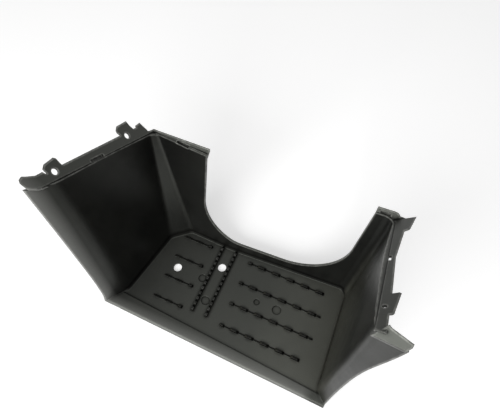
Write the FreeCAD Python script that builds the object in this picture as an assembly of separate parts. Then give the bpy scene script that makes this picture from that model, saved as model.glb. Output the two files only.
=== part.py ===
import FreeCAD, Part
import math
import os

V = FreeCAD.Vector
os.makedirs("parts", exist_ok=True)

# Driving dimensions in mm. X runs to the vehicle's rear, Y inwards, Z up from the floor's underside.
WALL = 3.0                # thickness of the walls, measured level
FLOOR = 3.0               # thickness of the floor
COVE = 2.5                # size of the sloped cove where the floor meets the walls

# Plan of the inside face at three heights, from the front free edge round to the rear free edge
LEVELS = (3.0, 164.0, 240.0)
FRONT_BEND = ((-106.6, -57.0), (-131.1, -32.0), (-145.0, -20.0))
FRONT_END = ((-89.5, 38.1), (-120.5, 97.9), (-138.7, 116.7))
INNER_START = ((-65.0, 59.0), (-114.8, 105.8), (-133.3, 125.0))
INNER_BEND = ((5.0, 57.3), (-25.0, 97.0), (-38.0, 115.0))
INNER_END = ((176.0, 67.3), (180.6, 101.3), (178.0, 119.0))
REAR_CREASE = ((181.4, -54.0), (182.1, 88.0), (178.5, 104.0))
REAR_BEND = ((181.0, -72.0), (180.1, -54.3), (178.6, -45.9))
FRONT_FLARE_ANGLE = (36.7, 27.3, 21.8)   # turn of the front flare off straight outwards
REAR_FLARE_ANGLE = (50.0, 64.0, 74.0)    # turn of the rear flare off straight outwards
FLARE_RUN = 60.0          # drawn length of both flares before they are trimmed
CORNER_R = ((35.0, 12.0, 12.0, 80.0, 12.0, 40.0, 14.0),
            (35.0, 5.0, 5.0, 80.0, 10.0, 20.0, 14.0),
            (35.0, 5.0, 5.0, 80.0, 10.0, 20.0, 14.0))

# Top line of the inside face: its height at each corner, and at one place on the front and rear walls
CORNER_F_Z = 162.0
CORNER_R_Z = 174.5
TOP_FRONT_Y = -16.3
TOP_FRONT_Z = 223.3
TOP_REAR_Y = -25.0
TOP_REAR_Z = 252.5
FLARE_DROP = 1.8          # step down from the rear top line to the lip of the rear flare
FLARE_RISE = 3.0          # rise of that lip over its run
FLARE_LIP_RUN = 25.0
REAR_SPLIT = 9.0          # the rear wall's top line takes over this far ahead of the rear corner

# Lip that leans out and up from the top line, carrying the tabs
LIP_ANGLE = 40.0          # lean of the front and inner lip above level
LIP_ANGLE_REAR = 30.0
LIP_T = 3.0               # thickness of the lip
LIP_LEDGE = 1.8           # ledge left inside the lip along the top of the wall

# Lip, tabs, holes and slots in plan, as (run along the top line from its corner, level reach outwards)
LIP_FRONT = ((-2.5, 3.4), (4.0, 3.8), (14.0, 11.6), (110.0, 10.2), (144.0, 8.8))
LIP_INNER = ((-2.5, 3.4), (5.0, 3.9), (84.0, 9.8))
LIP_INNER_REAR = ((-5.2, 2.2), (-4.2, 4.6), (-1.5, 6.0), (2.0, 6.4), (26.0, 6.4))
LIP_REAR = ((-4.0, 9.8), (22.0, 10.8), (62.0, 7.4), (104.0, 9.0), (147.0, 9.8))
LIP_CORNER = ((4.5, 1.0), (4.5, 2.5), (-2.5, 2.5), (-2.5, -4.5), (-1.0, -4.5), (1.2, -1.2))
REAR_LEDGE = ((4.0, -0.2), (30.0, -1.6), (62.0, -2.4), (98.0, -1.6), (128.0, -0.3), (128.0, 2.2), (4.0, 2.2))
TAB_CORNER = ((39.0, 4.7), (37.3, 11.6), (38.1, 16.3), (33.3, 19.5), (18.2, 20.5), (18.9, 15.3), (17.5, 8.6))
TAB_PLAIN = ((14.6, 4.1), (13.6, 13.2), (5.5, 14.2), (4.6, 4.9))
TAB_TIP = ((128.5, 3.7), (129.1, 13.2), (124.7, 16.0), (112.8, 17.9), (111.1, 16.4), (111.9, 11.0),
           (111.2, 6.8))
HOOK = ((142.8, 2.0), (146.8, 2.6), (153.2, 6.3), (153.6, 11.0), (151.8, 13.5), (147.8, 14.9), (144.9, 13.6),
        (138.3, 11.3), (131.0, 11.6), (128.6, 4.6))
TAB_REAR = ((109.7, 4.2), (104.1, 13.9), (104.6, 15.5), (127.9, 12.5), (131.7, 4.8))
TAB_SPIKE = ((4.7, 4.4), (-3.0, 10.0), (-8.1, 19.6), (14.4, 15.6), (22.6, 6.8))
LIP_FLARE = ((1.0, -2.0), (5.3, 6.3), (6.8, 9.7), (9.4, 8.8), (28.0, 7.9), (28.6, 5.4), (27.1, 1.6))
TAB_HOLE_R = 3.6
TIP_HOLE = (122.0, 7.9)
CORNER_HOLE = (31.0, 8.6)
REAR_HOLE_R = 2.0
REAR_HOLE = (122.2, 5.3)
SLOT_W = 3.0
SOCKET_DEPTH = 4.5        # depth of the closed socket behind a slot
SOCKET_WALL = 1.4
FRONT_SLOT = ((71.0, 2.7), (86.8, 2.7))
INNER_SLOT = ((32.6, 2.3), (50.2, 2.3))
INNER_SLOT_REAR = ((4.6, 2.2), (16.0, 2.2))
REAR_SLOT = ((60.0, 2.6), (67.0, 2.6))

# Outer edge
RIM_Y = -85.5             # outer edge of the floor at X = 0
RIM_SLOPE = -0.0149       # lean of the rim line in plan
FRONT_EDGE = ((-88.0, -30.0), (-84.0, -1.0), (-80.6, 10.0), (-77.4, 25.0), (-60.8, 135.0), (-45.3, 243.0),
              (-32.0, 340.0))   # free edge of the front wall as (Y, Z)
FRONT_EDGE_X = -104.0     # the front edge is cut frontwards of here
REAR_TRIM_X = 100.0       # the rear wall's outer edge is cut rearwards of here
REAR_TRIM_Y = -88.5
REAR_TRIM_SLOPE = 0.135
REAR_EDGE_Y = -33.0       # the rear flare's curved edge is cut outwards of here
REAR_EDGE = ((196.5, -20.0), (195.0, 60.0), (194.8, 115.0), (197.4, 190.0), (202.0, 228.0),
             (205.5, 256.0), (208.5, 300.0))
RIM_RISE = 2.0            # step up from the tread floor to the rim band
RIM_ROUND = 4.5           # radius of the rolled outer edge
PANEL_FRONT_Y = -62.5     # where the rim band starts, at the front wall
PANEL_REAR_Y = -75.5      # where the rim band starts, at the rear wall

# Cut-out in the inner wall, seen along Y as (X, Z) with corner radii
CUTOUT = ((-42.0, 230.0), (-46.0, 20.0), (152.6, 20.0), (164.6, 230.0))
CUTOUT_R = (62.0, 80.0)

# Treads
ROW_Y = (-48.0, -16.0, 16.0, 48.0)
TREAD_START = 54.1        # first full tread behind the ribs
TREAD_PITCH = 22.0
TREAD_COUNT = 5
SHORT_X = (36.0, -28.0)   # short treads on both sides of the ribs
FRONT_TREAD_X = (-46.0, -64.0)
TREAD_L = 14.0
SHORT_L = 7.0
TAIL_GAP = 9.5            # from the last tread to the low tail behind it, on the middle rows
TAIL_L = 8.0
LOW_W = 2.8               # width and height of the low treads
LOW_H = 2.2
LINK_W = 1.4              # thin ridge that joins the treads of a row
LINK_H = 0.7
TREAD_TOP = 0.45          # length of a tread's top as a share of its foot
TREAD_W = 4.4
TREAD_TOP_W = 0.5         # width of a tread's top as a share of its foot
TREAD_H = 4.0
RIB_X = (-10.6, 10.4)     # the two serrated ribs
RIB_Y0 = -47.0
RIB_Y1 = 55.0
RIB_W = 3.0
RIB_LOW = 2.4             # height between the serrations
RIB_HIGH = 5.0            # height of the serrations
RIB_TEETH = 13
SINK = 0.5                # depth that raised details run into the floor, so that they join it

# Holes and round marks in the floor
BOLT_HOLE_R = 6.0
BOLT_HOLES = ((0.6, 26.3), (-58.2, 0.8))
RECESS_DEPTH = 1.4
RECESS_SIDES = 20         # the shallow marks are drawn with flat sides, to keep their facets few
RECESSES = ((0.0, -26.3, 6.0), (-18.3, 0.9, 5.6), (66.4, 0.4, 4.2), (96.1, 1.4, 6.2))

BIG = 600.0


def interpolate(values, z):
    """One outline point at height z, on straight lines between the stated heights."""
    i = 0 if z < LEVELS[1] else 1
    t = (z - LEVELS[i]) / (LEVELS[i + 1] - LEVELS[i])
    a = values[i]
    b = values[i + 1]
    if isinstance(a, tuple):
        return tuple(p + (q - p) * t for p, q in zip(a, b))
    return a + (b - a) * t


def outline(z):
    """The inside face's corner points and radii at height z."""
    fb = interpolate(FRONT_BEND, z)
    rb = interpolate(REAR_BEND, z)
    fa = math.radians(interpolate(FRONT_FLARE_ANGLE, z))
    ra = math.radians(interpolate(REAR_FLARE_ANGLE, z))
    start = (fb[0] - FLARE_RUN * math.sin(fa), fb[1] - FLARE_RUN * math.cos(fa))
    end = (rb[0] + FLARE_RUN * math.sin(ra), rb[1] - FLARE_RUN * math.cos(ra))
    middle = [interpolate(v, z) for v in (FRONT_END, INNER_START, INNER_BEND, INNER_END, REAR_CREASE)]
    return [start, fb] + middle + [rb, end], list(interpolate(CORNER_R, z))


def turn(a, b, c):
    """Signed turn at b, positive to the left."""
    u = (b[0] - a[0], b[1] - a[1])
    w = (c[0] - b[0], c[1] - b[1])
    return math.atan2(u[0] * w[1] - u[1] * w[0], u[0] * w[0] + u[1] * w[1])


def moved(points, radii, distances):
    """The line moved outwards, to its left, by one distance for each straight."""
    lines = []
    for a, b, d in zip(points, points[1:], distances):
        length = math.hypot(b[0] - a[0], b[1] - a[1])
        u = ((b[0] - a[0]) / length, (b[1] - a[1]) / length)
        lines.append(((a[0] - u[1] * d, a[1] + u[0] * d), u, length))
    out = [lines[0][0]]
    new_radii = []
    for i in range(1, len(points) - 1):
        (p, u, _), (q, w, _) = lines[i - 1], lines[i]
        cross = u[0] * w[1] - u[1] * w[0]
        t = ((q[0] - p[0]) * w[1] - (q[1] - p[1]) * w[0]) / cross
        out.append((p[0] + u[0] * t, p[1] + u[1] * t))
        d = (distances[i - 1] + distances[i]) / 2
        sign = turn(points[i - 1], points[i], points[i + 1])
        new_radii.append(max(radii[i - 1] + (d if sign < 0 else -d), 0.8))
    p, u, length = lines[-1]
    out.append((p[0] + u[0] * length, p[1] + u[1] * length))
    return out, new_radii


def rounded(points, radii, z):
    """Edges of an open line whose corners are tangent arcs."""
    edges = []
    at = V(points[0][0], points[0][1], z)
    for i in range(1, len(points) - 1):
        a, b, c = points[i - 1], points[i], points[i + 1]
        half = abs(turn(a, b, c)) / 2
        t = radii[i - 1] * math.tan(half)
        u = V(a[0] - b[0], a[1] - b[1], 0).normalize()
        w = V(c[0] - b[0], c[1] - b[1], 0).normalize()
        corner = V(b[0], b[1], z)
        p = corner + u * t
        q = corner + w * t
        middle = (u + w).normalize()
        far = radii[i - 1] / math.cos(half) - radii[i - 1]
        edges.append(Part.makeLine(at, p))
        edges.append(Part.Arc(p, corner + middle * far, q).toShape())
        at = q
    edges.append(Part.makeLine(at, V(points[-1][0], points[-1][1], z)))
    return edges


def ring(points, radii, near, far, z):
    """Closed wire between two lines moved out from one line."""
    first = rounded(*moved(points, radii, near), z)
    second = rounded(*moved(points, radii, far), z)
    a = first[0].Vertexes[0].Point
    b = second[0].Vertexes[0].Point
    c = first[-1].Vertexes[-1].Point
    d = second[-1].Vertexes[-1].Point
    edges = first + [Part.makeLine(c, d)] + second[::-1] + [Part.makeLine(b, a)]
    return Part.Wire(Part.__sortEdges__(edges))


def strip(z, inner, outer):
    """Closed wire round the inside face at height z."""
    points, radii = outline(z)
    return ring(points, radii, [inner] * 8, [outer] * 8, z)


def prism(points, direction):
    face = Part.Face(Part.makePolygon(list(points) + [points[0]]))
    return face.extrude(direction)


def plan_prism(points, z0, z1):
    return prism([V(x, y, z0) for x, y in points], V(0, 0, z1 - z0))


def fold_plane(p, q, angle, outward):
    """Point and normal of the plane through a fold line, leaning up on its outward side."""
    start = V(*p)
    along = (V(*q) - start).normalize()
    level = V(along.y, -along.x, 0).normalize()
    if level.dot(outward) < 0:
        level = level * -1
    square = level.cross(along)
    if square.z < 0:
        square = square * -1
    lean = math.radians(angle)
    return start, square * math.cos(lean) - level * math.sin(lean)


def above(plane, drop, x0, x1):
    """Everything over a plane lowered by drop, between two X values."""
    point, normal = plane

    def on(x, y):
        return point.z - drop - ((x - point.x) * normal.x + (y - point.y) * normal.y) / normal.z
    corners = [(x0, -BIG), (x1, -BIG), (x1, BIG), (x0, BIG)]
    return prism([V(x, y, on(x, y)) for x, y in corners], V(0, 0, BIG * 4))


def height_on(plane, x, y):
    point, normal = plane
    return point.z - ((x - point.x) * normal.x + (y - point.y) * normal.y) / normal.z


def meeting(a, b, c, d):
    """Where the plan lines a to b and c to d cross."""
    u = (b[0] - a[0], b[1] - a[1])
    w = (d[0] - c[0], d[1] - c[1])
    t = ((c[0] - a[0]) * w[1] - (c[1] - a[1]) * w[0]) / (u[0] * w[1] - u[1] * w[0])
    return (a[0] + u[0] * t, a[1] + u[1] * t)


def at_y(a, b, y):
    """The plan point at y on the line a to b."""
    t = (y - a[1]) / (b[1] - a[1])
    return (a[0] + (b[0] - a[0]) * t, y)


def level_points(z, *lines):
    return [interpolate(line, z) for line in lines]


# Corners and ends of the top line lie on the inside face
corner_f = meeting(*level_points(CORNER_F_Z, FRONT_BEND, FRONT_END, INNER_START, INNER_BEND)) + (CORNER_F_Z,)
corner_r = meeting(*level_points(CORNER_R_Z, INNER_BEND, INNER_END, REAR_CREASE, REAR_BEND)) + (CORNER_R_Z,)
top_front = at_y(*level_points(TOP_FRONT_Z, FRONT_BEND, FRONT_END), TOP_FRONT_Y) + (TOP_FRONT_Z,)
top_rear = at_y(*level_points(TOP_REAR_Z, REAR_BEND, REAR_CREASE), TOP_REAR_Y) + (TOP_REAR_Z,)
top_middle = interpolate(INNER_BEND, (CORNER_F_Z + CORNER_R_Z) / 2)
FORWARD, INWARD, REARWARD = V(-1, 0, 0), V(0, 1, 0), V(1, 0, 0)
front_top = fold_plane(corner_f, top_front, 0, FORWARD)
inner_top = fold_plane(corner_f, corner_r, 0, INWARD)
rear_top = fold_plane(corner_r, top_rear, 0, REARWARD)
front_lip = fold_plane(corner_f, top_front, LIP_ANGLE, FORWARD)
inner_lip = fold_plane(corner_f, corner_r, LIP_ANGLE, INWARD)
rear_lip = fold_plane(corner_r, top_rear, LIP_ANGLE_REAR, REARWARD)

# The rear flare's lip starts at the bend, just under the rear top line
flare_turn = math.radians(interpolate(REAR_FLARE_ANGLE, TOP_REAR_Z))
flare_bend = interpolate(REAR_BEND, TOP_REAR_Z)
flare_start = flare_bend + (height_on(rear_top, *flare_bend) - FLARE_DROP,)
flare_end = (flare_start[0] + FLARE_LIP_RUN * math.sin(flare_turn),
             flare_start[1] - FLARE_LIP_RUN * math.cos(flare_turn), flare_start[2] + FLARE_RISE)
flare_lip = fold_plane(flare_start, flare_end, LIP_ANGLE, INWARD)
middle_x = (corner_f[0] + corner_r[0]) / 2
rear_split_x = corner_r[0] - REAR_SPLIT

roof_front = above(front_top, 0, -BIG, middle_x).common(above(inner_top, 0, -BIG, middle_x))
roof_inner = above(inner_top, 0, middle_x, rear_split_x)
roof_rear = above(rear_top, 0, rear_split_x, BIG).common(above(inner_top, 0, rear_split_x, BIG))


def lip_slab(planes, x0, x1):
    """The sheet of the lip under the higher of its planes."""
    upper = above(planes[0], 0, x0, x1)
    lower = above(planes[0], LIP_T / planes[0][1].z, x0, x1)
    for plane in planes[1:]:
        upper = upper.common(above(plane, 0, x0, x1))
        lower = lower.common(above(plane, LIP_T / plane[1].z, x0, x1))
    return lower.cut(upper)


slab_front = lip_slab([front_lip, inner_lip], -BIG, middle_x)
slab_rear = lip_slab([rear_lip, inner_lip], middle_x, BIG)
slab_flare = lip_slab([flare_lip], middle_x, BIG)
slab_ledge = lip_slab([rear_top], middle_x, BIG)

# Walls and lip
HEIGHTS = (0.0, LEVELS[1], 285.0)
walls = Part.makeLoft([strip(z, 0.0, WALL) for z in HEIGHTS], True, True)
walls = walls.cut(roof_front).cut(roof_inner).cut(roof_rear)


def top_run(start, towards, outward):
    """Start, direction and outward direction of one run of the top line, in plan."""
    a = V(start[0], start[1], 0)
    along = (V(towards[0], towards[1], 0) - a).normalize()
    out = V(along.y, -along.x, 0)
    if out.dot(outward) < 0:
        out = out * -1
    return a, along, out


def in_plan(run, pairs):
    a, along, out = run
    return [a + along * d + out * reach for d, reach in pairs]


run_front = top_run(corner_f, top_front, FORWARD)
run_inner = top_run(corner_f, top_middle, INWARD)
run_inner_rear = top_run(corner_r, top_middle, INWARD)
run_rear = top_run(corner_r, top_rear, REARWARD)
run_flare = top_run(flare_start, flare_end, INWARD)


def tab(run, pairs, sheet):
    return prism(in_plan(run, pairs), V(0, 0, BIG)).common(sheet)


def lip_run(run, reaches, sheet):
    """One run of lip, from its ledge out to its free edge."""
    ledge = [(reaches[-1][0], LIP_LEDGE), (reaches[0][0], LIP_LEDGE)]
    return tab(run, list(reaches) + ledge, sheet)


def curve_cutter(points, far, direction):
    """Everything from a curve out to three far corners, drawn along one direction."""
    curve = Part.BSplineCurve()
    curve.interpolate(points)
    corners = [points[-1]] + far + [points[0]]
    edges = [curve.toShape()]
    for a, b in zip(corners, corners[1:]):
        edges.append(Part.makeLine(a, b))
    return Part.Face(Part.Wire(edges)).extrude(direction)


def front_trim(extra):
    points = [V(-BIG, y + extra, z) for y, z in FRONT_EDGE]
    far = [V(-BIG, -BIG, FRONT_EDGE[-1][1]), V(-BIG, -BIG, FRONT_EDGE[0][1])]
    return curve_cutter(points, far, V(BIG + FRONT_EDGE_X, 0, 0))


def rear_trim():
    points = [(REAR_TRIM_Y - 50 * REAR_TRIM_SLOPE, -50.0), (REAR_TRIM_Y + BIG * REAR_TRIM_SLOPE, BIG),
              (-BIG, BIG), (-BIG, -50.0)]
    plane = prism([V(REAR_TRIM_X, y, z) for y, z in points], V(BIG, 0, 0))
    points = [V(x, -BIG, z) for x, z in REAR_EDGE]
    far = [V(BIG, -BIG, REAR_EDGE[-1][1]), V(BIG, -BIG, REAR_EDGE[0][1])]
    side = curve_cutter(points, far, V(0, BIG + REAR_EDGE_Y, 0))
    return plane.fuse(side)


def cutout():
    """The gap in the inner wall, drawn looking along Y."""
    a, b, c, d = CUTOUT
    edges = rounded([a, b, c, d], CUTOUT_R, 0)
    first = edges[0].Vertexes[0].Point
    last = edges[-1].Vertexes[-1].Point
    wire = Part.Wire(Part.__sortEdges__(edges + [Part.makeLine(last, first)]))
    face = Part.Face(wire)
    face.rotate(V(0, 0, 0), V(1, 0, 0), 90)
    face.translate(V(0, BIG, 0))
    return face.extrude(V(0, -BIG, 0))


trim_rear = rear_trim()
gap = cutout()
walls = walls.cut(front_trim(0.0)).cut(trim_rear).cut(gap)


def rim_y(x):
    return RIM_Y + RIM_SLOPE * x


# Floor with its raised rim band
edges = rounded(*moved(*outline(FLOOR / 2), [WALL * 0.6] * 8), 0.0)
first = edges[0].Vertexes[0].Point
last = edges[-1].Vertexes[-1].Point
plan = Part.Face(Part.Wire(Part.__sortEdges__(edges + [Part.makeLine(last, first)])))
beyond_rim = plan_prism([(-BIG, rim_y(-BIG)), (BIG, rim_y(BIG)), (BIG, -BIG), (-BIG, -BIG)], -50, 50)
floor = plan.extrude(V(0, 0, FLOOR)).cut(beyond_rim)
floor = floor.cut(front_trim(0.0)).cut(trim_rear)

panel_slope = (PANEL_REAR_Y - PANEL_FRONT_Y) / 290.0


def panel_y(x):
    return PANEL_FRONT_Y + panel_slope * (x + 108.0)


top = FLOOR + RIM_RISE
band = plan.extrude(V(0, 0, top)).cut(beyond_rim).cut(front_trim(0.0)).cut(trim_rear)
band = band.cut(plan_prism([(-BIG, panel_y(-BIG)), (BIG, panel_y(BIG)), (BIG, BIG), (-BIG, BIG)], -50, 50))
profile = [V(0, -2, top + 2), V(0, RIM_ROUND, top + 2), V(0, RIM_ROUND, top)]
low = V(0, 0, top - RIM_ROUND)
mid = V(0, RIM_ROUND * (1 - math.sqrt(0.5)), top - RIM_ROUND * (1 - math.sqrt(0.5)))
wire = Part.Wire([Part.makeLine(profile[0], profile[1]), Part.makeLine(profile[1], profile[2]),
                  Part.Arc(profile[2], mid, low).toShape(), Part.makeLine(low, V(0, -2, top - RIM_ROUND)),
                  Part.makeLine(V(0, -2, top - RIM_ROUND), profile[0])])
roll = Part.Face(wire).extrude(V(BIG * 2, 0, 0))
roll.translate(V(-BIG, RIM_Y, 0))
roll.rotate(V(0, RIM_Y, 0), V(0, 0, 1), math.degrees(math.atan(RIM_SLOPE)))
band = band.cut(roll)
floor = floor.cut(roll)

cove = Part.makeLoft([strip(1.0, -COVE * 1.5, WALL / 2), strip(FLOOR + COVE, 0.3, WALL / 2)], True, True)
cove = cove.cut(front_trim(0.0)).cut(trim_rear).cut(beyond_rim).cut(roll)


def rectangle(x, y, length, width, z):
    corners = [(-1, -1), (1, -1), (1, 1), (-1, 1), (-1, -1)]
    return Part.makePolygon([V(x + i * length / 2, y + j * width / 2, z) for i, j in corners])


def tread(x, y, length, width, height):
    """A tread block that narrows to its top."""
    foot = rectangle(x, y, length, width, FLOOR - SINK)
    crest = rectangle(x, y, length * TREAD_TOP, width * TREAD_TOP_W, FLOOR + height)
    return Part.makeLoft([foot, crest], True, True)


def link(x0, x1, y):
    """The thin ridge between two treads."""
    return Part.makeBox(x1 - x0, LINK_W, SINK + LINK_H, V(x0, y - LINK_W / 2, FLOOR - SINK))


def rib(x):
    pitch = (RIB_Y1 - RIB_Y0) / RIB_TEETH
    points = [V(x - RIB_W / 2, RIB_Y0, FLOOR - SINK)]
    for i in range(RIB_TEETH):
        y = RIB_Y0 + i * pitch
        points.append(V(x - RIB_W / 2, y, FLOOR + RIB_LOW))
        points.append(V(x - RIB_W / 2, y + pitch * 0.25, FLOOR + RIB_HIGH))
        points.append(V(x - RIB_W / 2, y + pitch * 0.65, FLOOR + RIB_HIGH))
        points.append(V(x - RIB_W / 2, y + pitch * 0.9, FLOOR + RIB_LOW))
    points.append(V(x - RIB_W / 2, RIB_Y1, FLOOR + RIB_LOW))
    points.append(V(x - RIB_W / 2, RIB_Y1, FLOOR - SINK))
    return prism(points, V(RIB_W, 0, 0))


def upright(x, y, r, z0, z1):
    return Part.makeCylinder(r, z1 - z0, V(x, y, z0))


def recess(x, y, r):
    """A shallow round mark in the floor."""
    turns = [math.tau * i / RECESS_SIDES for i in range(RECESS_SIDES)]
    rim = [(x + r * math.cos(t), y + r * math.sin(t)) for t in turns]
    return plan_prism(rim, FLOOR - RECESS_DEPTH, FLOOR + 20)


def on_lip(run, pairs, plane):
    """Points of a run, lifted to the top of its lip."""
    return [V(p.x, p.y, height_on(plane, p.x, p.y)) for p in in_plan(run, pairs)]


def square_hole(run, pair, r, plane):
    """A hole square to the lip."""
    axis = plane[1]
    return Part.makeCylinder(r, LIP_T * 5, on_lip(run, [pair], plane)[0] - axis * (LIP_T * 2.5), axis)


def slot(run, ends, plane, margin, low, high):
    """A straight-sided block square to the lip, round a slot's outline grown by a margin."""
    a, b = on_lip(run, ends, plane)
    along = (b - a).normalize()
    side = along.cross(plane[1]) * (SLOT_W / 2 + margin)
    a = a - along * margin + plane[1] * low
    b = b + along * margin + plane[1] * low
    return prism([a + side, b + side, b - side, a - side], plane[1] * (high - low))


# Lip and tabs
lip = [lip_run(run_front, LIP_FRONT, slab_front), lip_run(run_inner, LIP_INNER, slab_front),
       lip_run(run_inner_rear, LIP_INNER_REAR, slab_rear), lip_run(run_rear, LIP_REAR, slab_rear)]
pieces = [run.cut(gap) for run in lip]
for outline_pairs in (TAB_CORNER, TAB_PLAIN, TAB_TIP, HOOK):
    pieces.append(tab(run_front, outline_pairs, slab_front))
for outline_pairs in (TAB_REAR, TAB_SPIKE, LIP_CORNER):
    pieces.append(tab(run_rear, outline_pairs, slab_rear))
pieces.append(tab(run_rear, REAR_LEDGE, slab_ledge))
pieces.append(tab(run_flare, LIP_FLARE, slab_flare))
SOCKETS = ((run_front, FRONT_SLOT, front_lip), (run_inner, INNER_SLOT, inner_lip),
           (run_inner_rear, INNER_SLOT_REAR, inner_lip))
for run, ends, plane in SOCKETS:
    pieces.append(slot(run, ends, plane, SOCKET_WALL, -SOCKET_DEPTH - SOCKET_WALL, -LIP_T / 2))

# Floor, rim and treads
pieces = pieces + [floor, band, cove]
last_x = TREAD_START + TREAD_PITCH * (TREAD_COUNT - 1)
for y in ROW_Y:
    for i in range(TREAD_COUNT):
        pieces.append(tread(TREAD_START + TREAD_PITCH * i, y, TREAD_L, TREAD_W, TREAD_H))
    for x in SHORT_X:
        pieces.append(tread(x, y, SHORT_L, TREAD_W, TREAD_H))
    for x in FRONT_TREAD_X:
        pieces.append(tread(x, y, TREAD_L, LOW_W, LOW_H))
    pieces.append(link(SHORT_X[0], last_x, y))
    pieces.append(link(FRONT_TREAD_X[-1], SHORT_X[1], y))
for y in ROW_Y[1:3]:
    pieces.append(tread(last_x + TAIL_GAP, y, TAIL_L, LOW_W, LOW_H))
for x in RIB_X:
    pieces.append(rib(x))
shape = walls.fuse(pieces)

cuts = [upright(x, y, BOLT_HOLE_R, -1, FLOOR + 20) for x, y in BOLT_HOLES]
cuts = cuts + [recess(x, y, r) for x, y, r in RECESSES]
cuts.append(square_hole(run_front, TIP_HOLE, TAB_HOLE_R, front_lip))
cuts.append(square_hole(run_front, CORNER_HOLE, TAB_HOLE_R, front_lip))
cuts.append(square_hole(run_rear, REAR_HOLE, REAR_HOLE_R, rear_lip))
for run, ends, plane in SOCKETS:
    cuts.append(slot(run, ends, plane, 0, -SOCKET_DEPTH, LIP_T))
cuts.append(slot(run_rear, REAR_SLOT, rear_lip, 0, -LIP_T * 2, LIP_T * 2))
shape = shape.cut(cuts)
shape = shape.removeSplitter()
if len(shape.Solids) == 1:
    shape = shape.Solids[0]
shape.exportStep("parts/footwell_panel.step")
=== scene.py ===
"""Looks of the footwell panel: black grained plastic on a plain pale floor.

Lengths are in metres. X runs from the front to the rear, Y from the open side to the inner wall, and Z up.
A span is a pair of values: an effect is nil at the first, full at the second, and held beyond both.
"""
import math

import bpy
from mathutils import Matrix, Vector


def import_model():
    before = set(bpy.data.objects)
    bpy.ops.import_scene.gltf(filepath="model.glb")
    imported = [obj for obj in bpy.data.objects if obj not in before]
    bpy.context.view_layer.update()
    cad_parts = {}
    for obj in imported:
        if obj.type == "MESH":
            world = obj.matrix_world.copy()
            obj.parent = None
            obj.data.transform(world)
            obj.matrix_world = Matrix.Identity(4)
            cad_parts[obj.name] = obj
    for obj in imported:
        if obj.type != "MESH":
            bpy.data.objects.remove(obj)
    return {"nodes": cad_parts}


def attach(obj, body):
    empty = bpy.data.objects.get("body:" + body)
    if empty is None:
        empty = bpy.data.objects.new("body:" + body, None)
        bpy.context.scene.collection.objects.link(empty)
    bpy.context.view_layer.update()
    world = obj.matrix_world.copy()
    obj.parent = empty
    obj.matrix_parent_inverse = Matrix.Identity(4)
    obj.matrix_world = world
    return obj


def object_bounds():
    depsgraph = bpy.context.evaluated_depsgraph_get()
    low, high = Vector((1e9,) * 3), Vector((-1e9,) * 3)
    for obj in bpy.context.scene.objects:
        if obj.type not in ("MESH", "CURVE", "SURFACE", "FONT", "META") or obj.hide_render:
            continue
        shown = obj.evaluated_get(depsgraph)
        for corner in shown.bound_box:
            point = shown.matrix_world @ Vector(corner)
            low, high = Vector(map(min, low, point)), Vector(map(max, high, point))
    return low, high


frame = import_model()
CAD_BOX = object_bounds()

# Camera, in metres and degrees, as the photograph was taken
CAMERA_AT = (0.11944, -0.13516, 0.59172)
CAMERA_AZIMUTH = 24.45
CAMERA_ELEVATION = 63.7
CAMERA_ROLL = -0.6
LENS_MM = 30.6
SENSOR_MM = 36.0
CLIP_START = 0.01

# Colours of the plastic, of the dust and scuffs on it, and of the light and shade painted on it
PLASTIC_DARK = (0.003, 0.003, 0.003, 1.0)
PLASTIC_LIGHT = (0.008, 0.008, 0.007, 1.0)
# Dust, also used as painted light on the lower rear wall and the rear of the floor
DUST_AND_PAINTED_LIGHT = (0.066, 0.066, 0.054, 1.0)
# Painted reflection of the pale ground on the outer edges of the front flare and the rim
PAINTED_REFLECTION = (0.115, 0.115, 0.110, 1.0)
# Scuffs, and painted highlights along the outer edges
SCUFF_AND_PAINTED_HIGHLIGHT = (0.210, 0.212, 0.198, 1.0)
GLINT = (0.96, 1.0, 0.90, 1.0)
PLASTIC_IOR = 1.5

# Noise patterns: scale, detail and roughness
CLOUDS = (14.0, 5.0, 0.6)
PATCHES = (40.0, 5.0, 0.65)
SPECKS = (160.0, 4.0, 0.7)
SMEARS = (32.0, 6.0, 0.65)
GRAIN = (700.0, 3.0, 0.6)

# Part of each pattern that is drawn out, and what it becomes at either end
CLOUD_SPAN = (0.35, 0.7)
PATCH_SPAN = (0.3, 0.7)
PATCH_SHARES = (0.5, 1.0)
SPECK_SPAN = (0.42, 0.62)
SPECK_SHARES = (0.4, 1.0)
SMEAR_SPAN = (0.3, 0.75)
SMEAR_ROUGHNESS = (0.30, 0.42)
WHOLE = (0.0, 1.0)

# Grain and edges
GRAIN_DEPTH = 0.00016
GRAIN_STRENGTH = 0.8
EDGE_RADIUS = 0.0016               # rounding of every edge
EDGE_SAMPLES = 6

# Where a face looks, by its normal
FORWARD_SPAN = (-0.5, -0.9)        # X: faces that look to the front
NOT_REAR_SPAN = (-0.8, -0.6)       # X: leaves out the inside of the rear wall and the outside of the front wall
LEVEL_SPAN = (0.7, 0.9)            # Z: floors
UPRIGHT_SPAN = (0.45, 0.25)        # Z: walls and undersides
TUB_CENTRE = (0.05, 0.0, 0.30)     # faces that look towards this point are inside the tub
LOOKING_IN_SPAN = (0.0, -0.02)

# Dust and painted light
FORWARD_DUST_AND_LIGHT_HEIGHTS = (0.150, 0.0)        # road dust and painted light on what looks forward thin out upwards
REAR_FLOOR_LIGHT_SPAN = (0.070, 0.170)        # along X: painted light on the floor, lighter towards the rear
REAR_FLOOR_LIGHT_SHARE = 0.5

# Painted reflection of the pale ground on the front flare and the rim
EDGE_LEAN = 0.172                  # the outer edge of the front wall runs inwards by this much as it rises
PAINTED_REFLECTION_SPAN = (-0.070, -0.087)     # along Y at the floor: the rim and the front flare, which get the painted reflection
BEHIND_SPAN = (0.165, 0.178)       # along X: the rear flare, which gets no painted reflection

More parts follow.
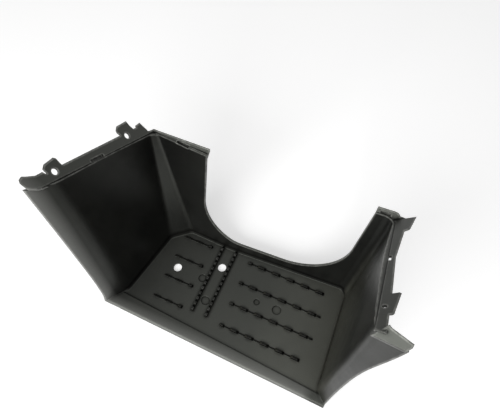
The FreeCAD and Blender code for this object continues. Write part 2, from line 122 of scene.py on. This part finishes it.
# Scuffs and painted highlights along the outer edges
EDGE_HIGHLIGHT_REACH = 0.0018               # how far they reach in from an edge
EDGE_HIGHLIGHT_HEIGHTS = (0.006, 0.012)     # the treads and the floor's own edges lie lower and get neither
SILL_SPAN = (-0.079, -0.084)       # along Y: the rolled edge of the rim gets them at any height

# Shine, dulled as painted shade
CORNER_SHADE_REACH = 0.005                # how far the painted shade reaches out of an inner corner
CORNER_SHADE_SHINE = (0.10, 0.5)          # in a corner and in the open
CORNER_SHADE_FADE_SPAN = (-0.058, -0.080)      # along Y: the painted corner shade thins out towards the rim
TREAD_FEET = (0.0031, 0.0037)      # heights over which the treads rise from the floor
TREAD_TOPS = (0.0120, 0.0075)      # heights over which their painted shade ends
TREAD_SHINE = 0.1                  # share of the shine that the treads keep under their painted shade
RIM_SPAN = (-0.060, -0.055)        # along Y: the rim band is as high as the treads and keeps its shine, free of their painted shade
WALL_SHINE = 0.45                  # share of the shine that the front wall, the inner wall and the rear flare keep under painted shade

# Openness of the space around a point, from a sharp corner or edge to a flat face
OPENNESS_SPAN = (0.60, 0.98)
OPENNESS_SAMPLES = 8

# Small web in the lip at its front inner corner
WEB_CENTRE = (-0.1190, 0.1056)
WEB_REACH = 0.0026
WEB_TOP = 0.1610
WEB_THICKNESS = 0.0014

# Stage
FLOOR_SIZE = 6.0
FLOOR_GAP = 0.0002                 # keeps the floor clear of the panel's underside
FLOOR_COLOUR = (0.86, 0.86, 0.86, 1.0)
FLOOR_GLOW = 0.42                  # seen by the camera and in reflections only
WHITE = (1.0, 1.0, 1.0, 1.0)
WORLD_SHOWN = 1.0
WORLD_LIGHT = 0.35

# Lamps: place, aim, size and watts
FRONT_LAMP = ((-0.15, -1.30, 0.75), (0.05, -0.08, 0.03), 1.2, 22.0)
TOP_LAMP = ((0.18, -0.15, 1.50), (0.06, -0.03, 0.00), 0.7, 2.5)

# Colour sockets of a mix node, which share their names with others
MIX_BELOW = 6
MIX_ABOVE = 7
MIX_RESULT = 2


def new_nodes(owner):
    """The empty node tree of a material or a world."""
    owner.use_nodes = True
    tree = owner.node_tree
    tree.nodes.clear()
    return tree


def add(tree, kind, **values):
    """A new node with some of its input sockets set by name."""
    node = tree.nodes.new(kind)
    for name, value in values.items():
        node.inputs[name.replace("_", " ")].default_value = value
    return node


def grey(value):
    return (value, value, value, 1.0)


def split(tree, vector):
    """The three coordinates of a vector."""
    node = tree.nodes.new("ShaderNodeSeparateXYZ")
    tree.links.new(vector, node.inputs["Vector"])
    return node.outputs["X"], node.outputs["Y"], node.outputs["Z"]


def noise(tree, place, pattern):
    scale, detail, roughness = pattern
    node = add(tree, "ShaderNodeTexNoise", Scale=scale, Detail=detail, Roughness=roughness)
    tree.links.new(place, node.inputs["Vector"])
    return node.outputs["Fac"]


def ramp(tree, source, span, colours):
    """A value turned into a colour between two others."""
    node = tree.nodes.new("ShaderNodeValToRGB")
    for element, position, colour in zip(node.color_ramp.elements, span, colours):
        element.position = position
        element.color = colour
    tree.links.new(source, node.inputs["Fac"])
    return node.outputs["Color"]


def shares(tree, source, span, ends):
    """A value turned into another between two ends."""
    return ramp(tree, source, span, [grey(end) for end in ends])


def scaled(tree, source, span):
    """A value run from zero to one over a span."""
    node = add(tree, "ShaderNodeMapRange", From_Min=span[0], From_Max=span[1])
    tree.links.new(source, node.inputs["Value"])
    return node.outputs["Result"]


def combined(tree, operation, sources):
    """Several values taken together by one operation."""
    total = sources[0]
    for source in sources[1:]:
        node = tree.nodes.new("ShaderNodeMath")
        node.operation = operation
        tree.links.new(total, node.inputs[0])
        tree.links.new(source, node.inputs[1])
        total = node.outputs["Value"]
    return total


def product(tree, *sources):
    return combined(tree, "MULTIPLY", sources)


def largest(tree, *sources):
    return combined(tree, "MAXIMUM", sources)


def blend(tree, share, below, colour):
    """A plain colour laid over another by a share."""
    node = tree.nodes.new("ShaderNodeMix")
    node.data_type = "RGBA"
    tree.links.new(share, node.inputs["Factor"])
    tree.links.new(below, node.inputs[MIX_BELOW])
    node.inputs[MIX_ABOVE].default_value = colour
    return node.outputs[MIX_RESULT]


def openness(tree, reach, inside):
    """How open the space is within reach of a point, under the surface or over it."""
    node = add(tree, "ShaderNodeAmbientOcclusion", Distance=reach)
    node.inside = inside
    node.only_local = True
    node.samples = OPENNESS_SAMPLES
    return node.outputs["AO"]


class Spot:
    """A point of the panel as a material sees it: where it lies and where it faces."""

    def __init__(self, tree):
        self.place = tree.nodes.new("ShaderNodeTexCoord").outputs["Object"]
        self.normal = tree.nodes.new("ShaderNodeNewGeometry").outputs["Normal"]
        self.x, self.y, self.height = split(tree, self.place)
        facing_x, _, facing_z = split(tree, self.normal)
        self.forward = scaled(tree, facing_x, FORWARD_SPAN)
        self.not_rear = scaled(tree, facing_x, NOT_REAR_SPAN)
        self.level = scaled(tree, facing_z, LEVEL_SPAN)
        self.upright = scaled(tree, facing_z, UPRIGHT_SPAN)
        self.behind = scaled(tree, self.x, BEHIND_SPAN)
        self.ahead = scaled(tree, self.x, BEHIND_SPAN[::-1])
        outward = tree.nodes.new("ShaderNodeMath")
        outward.operation = "MULTIPLY_ADD"
        tree.links.new(self.height, outward.inputs[0])
        outward.inputs[1].default_value = -EDGE_LEAN
        tree.links.new(self.y, outward.inputs[2])
        self.near_edge = scaled(tree, outward.outputs["Value"], PAINTED_REFLECTION_SPAN)
        self.off_edge = scaled(tree, outward.outputs["Value"], PAINTED_REFLECTION_SPAN[::-1])


def looking_in(tree, spot):
    """One on the faces that look into the tub, and zero on those that look out."""
    out = tree.nodes.new("ShaderNodeVectorMath")
    out.operation = "SUBTRACT"
    tree.links.new(spot.place, out.inputs[0])
    out.inputs[1].default_value = TUB_CENTRE
    along = tree.nodes.new("ShaderNodeVectorMath")
    along.operation = "DOT_PRODUCT"
    tree.links.new(out.outputs["Vector"], along.inputs[0])
    tree.links.new(spot.normal, along.inputs[1])
    return scaled(tree, along.outputs["Value"], LOOKING_IN_SPAN)


def colour(tree, spot):
    """Cloudy black under dust and painted light, a painted reflection, and scuffs with painted highlights."""
    base = ramp(tree, noise(tree, spot.place, CLOUDS), CLOUD_SPAN, (PLASTIC_DARK, PLASTIC_LIGHT))

    # Road dust and painted light on the faces that look forward, low down
    low = scaled(tree, spot.height, FORWARD_DUST_AND_LIGHT_HEIGHTS)
    patchy = shares(tree, noise(tree, spot.place, PATCHES), PATCH_SPAN, PATCH_SHARES)
    base = blend(tree, product(tree, spot.forward, low, patchy), base, DUST_AND_PAINTED_LIGHT)

    # Painted reflection: paler towards the outer edge of the front flare and of the rim
    base = blend(tree, product(tree, spot.near_edge, spot.not_rear, spot.ahead), base, PAINTED_REFLECTION)

    # Painted light at the rear of the floor, between the treads, in the dust colour
    rearward = scaled(tree, spot.x, REAR_FLOOR_LIGHT_SPAN)
    between = scaled(tree, spot.height, TREAD_FEET[::-1])
    rear_floor_light = product(tree, rearward, between, spot.level)
    base = blend(tree, shares(tree, rear_floor_light, WHOLE, (0.0, REAR_FLOOR_LIGHT_SHARE)), base, DUST_AND_PAINTED_LIGHT)

    # Scuffs and painted highlights along the outer edges
    edge = shares(tree, openness(tree, EDGE_HIGHLIGHT_REACH, True), OPENNESS_SPAN, (1.0, 0.0))
    specks = shares(tree, noise(tree, spot.place, SPECKS), SPECK_SPAN, SPECK_SHARES)
    raised = scaled(tree, spot.height, EDGE_HIGHLIGHT_HEIGHTS)
    sill = scaled(tree, spot.y, SILL_SPAN)
    return blend(tree, product(tree, edge, specks, largest(tree, raised, sill)), base, SCUFF_AND_PAINTED_HIGHLIGHT)


def shine(tree, spot):
    """Less shine, as painted shade, in the inner corners, on the treads and on the walls."""
    # Painted shade in the inner corners: less shine where the space is closed in
    nearing_rim = scaled(tree, spot.y, CORNER_SHADE_FADE_SPAN)
    free = largest(tree, openness(tree, CORNER_SHADE_REACH, False), nearing_rim)
    corner = shares(tree, free, OPENNESS_SPAN, CORNER_SHADE_SHINE)

    # Painted shade on the treads: they keep only a share of their shine
    rising = scaled(tree, spot.height, TREAD_FEET)
    ending = scaled(tree, spot.height, TREAD_TOPS)
    off_rim = scaled(tree, spot.y, RIM_SPAN)
    tread = product(tree, rising, ending, off_rim, looking_in(tree, spot))
    tread_shade = shares(tree, tread, WHOLE, (1.0, TREAD_SHINE))

    # Painted shade on the front wall, the inner wall and the rear flare: less shine
    outside_painted_reflection = largest(tree, spot.off_edge, spot.behind)
    wall = product(tree, spot.upright, spot.not_rear, outside_painted_reflection)
    matte = shares(tree, wall, WHOLE, (1.0, WALL_SHINE))
    return product(tree, corner, tread_shade, matte)


def relief(tree, spot):
    """Fine grain on softly rounded edges."""
    soft_edge = add(tree, "ShaderNodeBevel", Radius=EDGE_RADIUS)
    soft_edge.samples = EDGE_SAMPLES
    bump = add(tree, "ShaderNodeBump", Strength=GRAIN_STRENGTH, Distance=GRAIN_DEPTH)
    tree.links.new(noise(tree, spot.place, GRAIN), bump.inputs["Height"])
    tree.links.new(soft_edge.outputs["Normal"], bump.inputs["Normal"])
    return bump.outputs["Normal"]


def plastic():
    """Black moulded plastic with a fine grain, dust and painted light, a painted reflection, scuffed edges with
    painted highlights, and painted shade in its shine.
    """
    material = bpy.data.materials.new("moulded_plastic_look")
    tree = new_nodes(material)
    spot = Spot(tree)
    smears = noise(tree, spot.place, SMEARS)
    shader = add(tree, "ShaderNodeBsdfPrincipled", IOR=PLASTIC_IOR, Specular_Tint=GLINT)
    tree.links.new(colour(tree, spot), shader.inputs["Base Color"])
    tree.links.new(shine(tree, spot), shader.inputs["Specular IOR Level"])
    tree.links.new(shares(tree, smears, SMEAR_SPAN, SMEAR_ROUGHNESS), shader.inputs["Roughness"])
    tree.links.new(relief(tree, spot), shader.inputs["Normal"])
    output = tree.nodes.new("ShaderNodeOutputMaterial")
    tree.links.new(shader.outputs["BSDF"], output.inputs["Surface"])
    return material


def corner_web(look):
    """A small round web that closes the lip at its front inner corner."""
    bpy.ops.mesh.primitive_cylinder_add(radius=WEB_REACH, depth=WEB_THICKNESS,
                                        location=(*WEB_CENTRE, WEB_TOP - WEB_THICKNESS / 2))
    web = bpy.context.object
    web.name = "lip_corner_web"
    web.data.materials.append(look)
    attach(web, "root")


def seen_directly(tree):
    """One for rays from the camera, from mirrors and through glass, and zero for the rest."""
    path = tree.nodes.new("ShaderNodeLightPath")
    kinds = ("Is Camera Ray", "Is Glossy Ray", "Is Transmission Ray")
    return largest(tree, *[path.outputs[kind] for kind in kinds])


def shown_or_lighting(tree, lighting, shown, output):
    """One shader for what is seen directly and another for the light that falls on the object."""
    mix = tree.nodes.new("ShaderNodeMixShader")
    tree.links.new(seen_directly(tree), mix.inputs["Fac"])
    tree.links.new(lighting, mix.inputs[1])
    tree.links.new(shown, mix.inputs[2])
    tree.links.new(mix.outputs["Shader"], tree.nodes.new(output).inputs["Surface"])


def stage_floor():
    """A pale matte floor that looks a little lighter than it is."""
    half = FLOOR_SIZE / 2
    corners = [(-half, -half, 0), (half, -half, 0), (half, half, 0), (-half, half, 0)]
    mesh = bpy.data.meshes.new("stage_floor")
    mesh.from_pydata(corners, [], [(0, 1, 2, 3)])
    floor = bpy.data.objects.new("stage_floor", mesh)
    bpy.context.scene.collection.objects.link(floor)
    floor.location.z = CAD_BOX[0][2] - FLOOR_GAP
    material = bpy.data.materials.new("stage_floor_look")
    tree = new_nodes(material)
    matte = add(tree, "ShaderNodeBsdfDiffuse", Color=FLOOR_COLOUR)
    glow = add(tree, "ShaderNodeEmission", Color=WHITE, Strength=FLOOR_GLOW)
    lit = tree.nodes.new("ShaderNodeAddShader")
    tree.links.new(matte.outputs["BSDF"], lit.inputs[0])
    tree.links.new(glow.outputs["Emission"], lit.inputs[1])
    shown_or_lighting(tree, matte.outputs["BSDF"], lit.outputs["Shader"], "ShaderNodeOutputMaterial")
    floor.data.materials.append(material)


def world():
    """White where the camera sees it, and a plain pale light for the object."""
    studio = bpy.data.worlds.new("studio")
    bpy.context.scene.world = studio
    tree = new_nodes(studio)
    shown = add(tree, "ShaderNodeBackground", Color=WHITE, Strength=WORLD_SHOWN)
    light = add(tree, "ShaderNodeBackground", Color=WHITE, Strength=WORLD_LIGHT)
    shown_or_lighting(tree, light.outputs["Background"], shown.outputs["Background"],
                      "ShaderNodeOutputWorld")


def area_light(name, at, target, size, watts):
    data = bpy.data.lights.new(name, "AREA")
    data.size = size
    data.energy = watts
    lamp = bpy.data.objects.new(name, data)
    bpy.context.scene.collection.objects.link(lamp)
    lamp.location = at
    lamp.rotation_euler = (Vector(target) - Vector(at)).to_track_quat("-Z", "Y").to_euler()


def camera():
    """The photograph's camera, from its place, its angles and its lens."""
    azimuth = math.radians(CAMERA_AZIMUTH)
    elevation = math.radians(CAMERA_ELEVATION)
    roll = math.radians(CAMERA_ROLL)
    level = Vector((math.cos(azimuth), math.sin(azimuth), 0))
    forward = Vector((-math.sin(azimuth) * math.cos(elevation),
                      math.cos(azimuth) * math.cos(elevation),
                      -math.sin(elevation)))
    upright = level.cross(forward)
    right = level * math.cos(roll) + upright * math.sin(roll)
    up = upright * math.cos(roll) - level * math.sin(roll)
    data = bpy.data.cameras.new("photo_camera")
    data.sensor_fit = "HORIZONTAL"
    data.sensor_width = SENSOR_MM
    data.lens = LENS_MM
    data.clip_start = CLIP_START
    seen_from = bpy.data.objects.new("photo_camera", data)
    bpy.context.scene.collection.objects.link(seen_from)
    axes = Matrix((right, up, -forward)).transposed().to_4x4()
    seen_from.matrix_world = Matrix.Translation(CAMERA_AT) @ axes
    bpy.context.scene.camera = seen_from


panel = frame["nodes"]["footwell_panel"]
panel.data.materials.clear()
look = plastic()
panel.data.materials.append(look)
corner_web(look)
stage_floor()
world()
area_light("front_lamp", *FRONT_LAMP)
area_light("top_lamp", *TOP_LAMP)
camera()
bpy.context.scene.view_settings.view_transform = "Standard"
